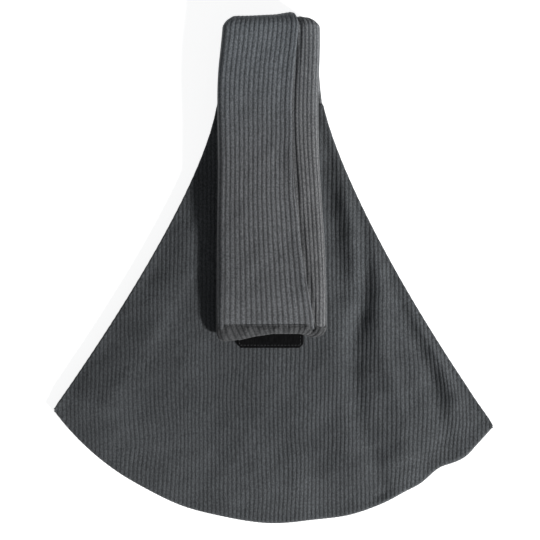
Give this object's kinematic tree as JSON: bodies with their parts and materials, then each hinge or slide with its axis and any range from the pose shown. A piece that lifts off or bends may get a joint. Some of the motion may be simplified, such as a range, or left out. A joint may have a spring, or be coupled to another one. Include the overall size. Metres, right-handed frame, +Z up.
{
  "type": "pouch baby sling",
  "caption": "Flat-laid pouch baby sling: two fan-shaped corduroy panels joined by a curved seat seam, with a padded strap closed on the front by hook and loop tape.",
  "frame": {"origin": "on the surface the sling lies on, under the middle of its outline", "axes": "+Y from the seat seam towards the shoulder fold, +Z up out of the surface, +X to the right as seen from the front"},
  "size_m": [0.5, 0.576, 0.0364],
  "materials": {
    "corduroy": "charcoal corduroy with fine ribs along the length, soft nap",
    "strap_corduroy": "the same charcoal corduroy, pulled smooth over padding",
    "facing_corduroy": "the same corduroy with its nap the other way, so it looks paler",
    "binding_corduroy": "corduroy cut on the bias, ribs slanting",
    "lining": "plain woven dark grey cotton",
    "seam_binding": "folded cotton binding over a bulky seam",
    "loop_tape": "black brushed loop pile",
    "hook_tape": "black woven tape with fine nylon hooks",
    "padding": "off-white soft foam, hidden in the strap"
  },
  "bodies": {
    "seat": {"back_shell": "corduroy", "back_lining": "lining", "seat_seam_binding": "seam_binding", "front_shell_seat": "corduroy", "front_lining_seat": "lining", "strap_cover_back": "strap_corduroy", "strap_facing_back": "facing_corduroy", "strap_foam_back": "padding"},
    "front_panel": {"front_shell": "corduroy", "front_lining": "lining", "loop_tape": "loop_tape"},
    "strap_front": {"strap_cover_front": "strap_corduroy", "strap_facing_front": "facing_corduroy", "strap_foam_front": "padding", "strap_end_binding": "binding_corduroy", "hook_tape": "hook_tape"}
  },
  "joints": [
    {"name": "strap_peel", "type": "hinge", "parent": "seat", "child": "strap_front", "pos_m": [-0.004, 0.2698, 0.0364], "axis": [-1, 0, 0], "range_deg": [0, 150]},
    {"name": "pouch_open", "type": "hinge", "parent": "seat", "child": "front_panel", "pos_m": [0, -0.1695, 0.0149], "axis": [1, 0, 0], "range_deg": [0, 37.5]}
  ],
  "couplings": [
    {"joint": "pouch_open", "follows": "strap_peel", "ratio": 0.25}
  ]
}
